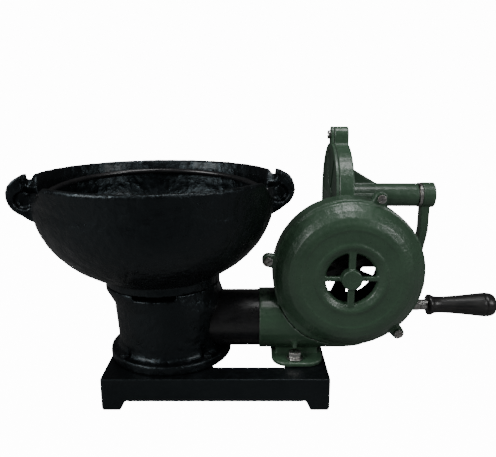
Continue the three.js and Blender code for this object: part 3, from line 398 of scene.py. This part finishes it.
def casting(node, name, voxel, lump, finish, guides=(), reach=0.0011):
    piece = welded(node, name)
    remesh = piece.modifiers.new("even_faces", "REMESH")
    remesh.mode = "VOXEL"
    remesh.voxel_size = voxel * MM
    apply_all(piece)
    laid_on(piece, guides, reach)
    soft = piece.modifiers.new("soft_edges", "SMOOTH")
    soft.factor = 0.5
    soft.iterations = 2
    cloud = piece.modifiers.new("lumps", "DISPLACE")
    cloud.texture = clouds
    cloud.texture_coords = "LOCAL"
    cloud.strength = lump * MM
    cloud.mid_level = 0.5
    apply_all(piece)
    return finished(piece, finish, node)


# %% [markdown]
# ### Fire bowl, pedestal and base
# The bowl's outside is an ellipse that runs up into a nearly straight rim.  Guides with the same
# sections take away the flats.  The bowl has the coarsest skin, so it gets the deepest lumps.

# %% Bowl
SHOULDER_HEIGHT = 246
SHOULDER_RADIUS = 148
BOWL_DEPTH = 110
BOWL_WALL = 7
RIM, LEDGE = (152.5, 274), (143.5, 265)
bowl_axis = Vector((bowl_centre.x, bowl_centre.y, 0))
outside_line = ellipse(SHOULDER_RADIUS, BOWL_DEPTH, SHOULDER_HEIGHT, -56, 0) + [RIM]
inside_line = ellipse(SHOULDER_RADIUS - BOWL_WALL, BOWL_DEPTH - BOWL_WALL, SHOULDER_HEIGHT, -61, 0) + [LEDGE]
bowl_outside = turned("bowl_outside", outside_line, bowl_axis, "z", 192, capped=True)
bowl_inside = turned("bowl_inside", inside_line, bowl_axis, "z", 192, capped=True)
casting("fire_bowl", "bowl_casting", 2.0, 1.1, bowl_iron, [bowl_outside, bowl_inside])

# %% Pedestal and base
casting("pedestal", "pedestal_casting", 1.6, 1.0, bowl_iron)
casting("base_frame", "base_casting", 1.7, 0.25, base_paint)
casting("fire_grate", "grate_casting", 1.2, 0.4, bowl_iron)

# %% [markdown]
# ### Blower cases
# The two halves of the fan case are smoother castings under paint.  The case gets a guide for its
# drum.

# %% Fan case and cover
DRUM_RADIUS, DRUM_FRONT, DRUM_SHOULDER = 94.5, -30, -8
BACK_RADIUS, BACK_DEPTH = 66, 28
drum_line = [(DRUM_RADIUS, DRUM_FRONT), (DRUM_RADIUS, DRUM_SHOULDER)]
drum_line += [(BACK_RADIUS + (DRUM_RADIUS - BACK_RADIUS) * math.cos(math.radians(a)),
               DRUM_SHOULDER + BACK_DEPTH * math.sin(math.radians(a))) for a in range(5, 91, 5)]
drum = turned("drum_guide", drum_line, fan_centre, "y", 160, capped=True)
casting("fan_case", "case_casting", 1.35, 0.3, green_enamel, [drum], 0.0008)
casting("fan_case_cover", "cover_casting", 1.1, 0.3, green_enamel)
casting("gear_case", "gear_case_casting", 1.3, 0.25, green_enamel)
casting("crank_arm", "arm_forging", 0.9, 0.2, green_enamel)

# %% [markdown]
# ## Machined pieces
# Screws, nuts, washers and rings come off a machine, so they keep flat faces and get a small even
# bevel that catches the light.


# %% Bevelled machined pieces
def machined(node, bevel, finish):
    piece = welded(node, node + "_machined")
    only(piece)
    bpy.ops.object.mode_set(mode="EDIT")
    bpy.ops.mesh.select_all(action="SELECT")
    bpy.ops.mesh.dissolve_limited(angle_limit=math.radians(1))
    bpy.ops.object.mode_set(mode="OBJECT")
    edge = piece.modifiers.new("edge", "BEVEL")
    edge.width = bevel * MM
    edge.segments = 2
    edge.limit_method = "ANGLE"
    edge.angle_limit = math.radians(40)
    apply_all(piece)
    return finished(piece, finish, node, smooth_angle=38)


for node in sorted(slot_of):
    if node.startswith(("cover_screw", "gear_cover_screw", "pedestal_bolt", "foot_bolt", "foot_washer",
                        "foot_nut", "grip_nut")):
        machined(node, 0.4, finish_of[slot_of[node]])
machined("gear_cover", 0.5, green_enamel)

# %% [markdown]
# ## Turned pieces
# The air tube, the bright thrust ring and the grip are turned from a circle.  The grip swells toward
# its end and has a thin ring cut round it where the swelling starts.

# %% Air tube
TUBE_BORE, TUBE_RADIUS, TUBE_EDGE = 34, 36.5, 0.6
tube_low, tube_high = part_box("air_tube")
tube_centre = Vector((tube_low[0], (tube_low[1] + tube_high[1]) / 2, (tube_low[2] + tube_high[2]) / 2))
tube_length = (tube_high[0] - tube_low[0]) / MM
tube_line = [(TUBE_BORE, TUBE_EDGE), (TUBE_BORE + TUBE_EDGE, 0), (TUBE_RADIUS - TUBE_EDGE, 0),
             (TUBE_RADIUS, TUBE_EDGE), (TUBE_RADIUS, tube_length - TUBE_EDGE),
             (TUBE_RADIUS - TUBE_EDGE, tube_length), (TUBE_BORE + TUBE_EDGE, tube_length),
             (TUBE_BORE, tube_length - TUBE_EDGE)]
tube = turned("air_tube_drawn", tube_line, tube_centre, "x", 96)
finished(tube, tube_black, "air_tube", smooth_angle=40)

# %% Thrust ring and grip collar
RING_EDGE = 0.7
for node, outside, inside in (("thrust_collar", 17.5, 8.3), ("grip_collar", 8.0, 5.3)):
    low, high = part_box(node)
    centre = Vector((low[0], (low[1] + high[1]) / 2, (low[2] + high[2]) / 2))
    width = (high[0] - low[0]) / MM
    ring_line = [(inside, 0), (outside - RING_EDGE, 0), (outside, RING_EDGE), (outside, width - RING_EDGE),
                 (outside - RING_EDGE, width), (inside, width)]
    ring = turned(node + "_turned", ring_line, centre, "x", 64)
    finished(ring, steel, node, smooth_angle=40)

# %% Grip
grip_low, grip_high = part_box("crank_grip")
grip_start = Vector((grip_low[0], grip_centre.y, grip_centre.z))
grip_line = [(5.25, 86), (5.25, 0), (14.6, 0), (15.5, 0.9), (15.5, 4.6), (14.4, 6.2), (13.2, 9), (12.5, 13),
             (12.25, 17), (12.35, 23), (12.9, 32), (13.8, 43), (14.9, 55), (16.0, 66), (17.0, 75), (17.7, 81),
             (17.9, 83.4), (17.3, 84), (17.3, 84.8), (17.95, 85.4), (18.0, 88), (17.7, 92), (16.8, 96),
             (15.0, 99), (12.0, 101), (8.0, 101.8), (3.0, 102), (0.5, 102)]
grip = turned("grip_turned", grip_line, grip_start, "x", 72, capped=True)
finished(grip, grip_black, "crank_grip", smooth_angle=50)

# %% [markdown]
# ## Bail handle
# The handle is one thin rod: two short pins in the ears, a tight bend at each, and a half circle that
# lies back inside the rim.  A round curve follows that route and is turned into a mesh.

# %% Bail handle
PIN, BOW, BEND = 162, 135.8, 4
ROD_RADIUS = 3.75
REST_ANGLE = 4.5
route = [(PIN, 0), (PIN - 10, 0), (BOW + BEND, 0), (BOW + 1.2, 1.2)]
route += [(BOW * math.cos(math.radians(a)), BOW * math.sin(math.radians(a))) for a in range(3, 178, 3)]
route += [(-x, y) for x, y in reversed(route[:4])]
ear_line = joint_axis["bail_swing"]
to_ears = Matrix.Rotation(math.atan2(ear_line.y, ear_line.x), 4, "Z")
to_rest = Matrix.Translation(bowl_centre) @ to_ears @ Matrix.Rotation(math.radians(REST_ANGLE), 4, "X")
bail_curve = bpy.data.curves.new("bail_curve", "CURVE")
bail_curve.dimensions = "3D"
bail_curve.bevel_depth = ROD_RADIUS * MM
bail_curve.bevel_resolution = 6
bail_curve.use_fill_caps = True
spline = bail_curve.splines.new("POLY")
spline.points.add(len(route) - 1)
for point, (x, y) in zip(spline.points, route):
    point.co = (*(to_rest @ Vector((x * MM, y * MM, 0))), 1)
bail = bpy.data.objects.new("bail_rod", bail_curve)
bpy.context.scene.collection.objects.link(bail)
only(bail)
bpy.ops.object.convert(target="MESH")
finished(bpy.context.object, tube_black, "bail_handle", smooth_angle=50)

# %% [markdown]
# ## Floor and light
# Black paint is drawn by what it mirrors, so the room is dim and three soft lights do the work: one on
# the left for the bowl's long highlight, one above for its rim and one on the right for the crank.
# The backdrop is white to the camera only, which keeps it out of the reflections.


# %% Floor, sky and lights
bpy.ops.object.select_all(action="DESELECT")
bpy.ops.mesh.primitive_plane_add(size=12)
floor = bpy.context.object
floor.name = "floor"
floor_finish = Finish("pale_floor")
floor_patches = floor_finish.noise(3, 2)
floor_finish.colour(floor_finish.ramp(floor_patches, [(0.3, (0.22, 0.22, 0.22)), (0.7, (0.26, 0.26, 0.26))]))
floor_finish.shader.inputs["Roughness"].default_value = 0.6
floor_finish.shader.inputs["Emission Color"].default_value = (1, 1, 1, 1)


def for_camera(tree, target, seen, unseen):
    ray = tree.nodes.new("ShaderNodeLightPath")
    share = tree.nodes.new("ShaderNodeMapRange")
    share.inputs["To Min"].default_value = unseen
    share.inputs["To Max"].default_value = seen
    tree.links.new(ray.outputs["Is Camera Ray"], share.inputs["Value"])
    tree.links.new(share.outputs["Result"], target)


BACKDROP_GLOW, ROOM_GLOW = 14.0, 0.05
for_camera(floor_finish.tree, floor_finish.shader.inputs["Emission Strength"], BACKDROP_GLOW, 0.0)
floor.data.materials.append(floor_finish.material)
floor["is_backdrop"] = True
world = bpy.data.worlds.new("studio")
world.use_nodes = True
backdrop = world.node_tree.nodes["Background"]
backdrop.inputs["Color"].default_value = (1, 1, 1, 1)
for_camera(world.node_tree, backdrop.inputs["Strength"], BACKDROP_GLOW, ROOM_GLOW)
bpy.context.scene.world = world


def soft_light(name, place, aim, size, power):
    data = bpy.data.lights.new(name, "AREA")
    data.size = size
    data.energy = power
    lamp = bpy.data.objects.new(name, data)
    bpy.context.scene.collection.objects.link(lamp)
    lamp.location = place
    lamp.rotation_euler = (Vector(aim) - Vector(place)).to_track_quat("-Z", "Y").to_euler()
    return lamp


soft_light("left_light", (-1.3, -0.9, 1.0), (-0.1, 0, 0.15), 0.7, 17)
soft_light("top_light", (0.2, -0.3, 1.7), (0, 0, 0.15), 0.6, 11)
soft_light("right_light", (1.3, -1.0, 0.9), (0.1, 0, 0.15), 0.5, 8)

# %% Print the size of the visible pieces
low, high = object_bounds()
print("visual box", [round(v, 4) for v in (*low, *high)])
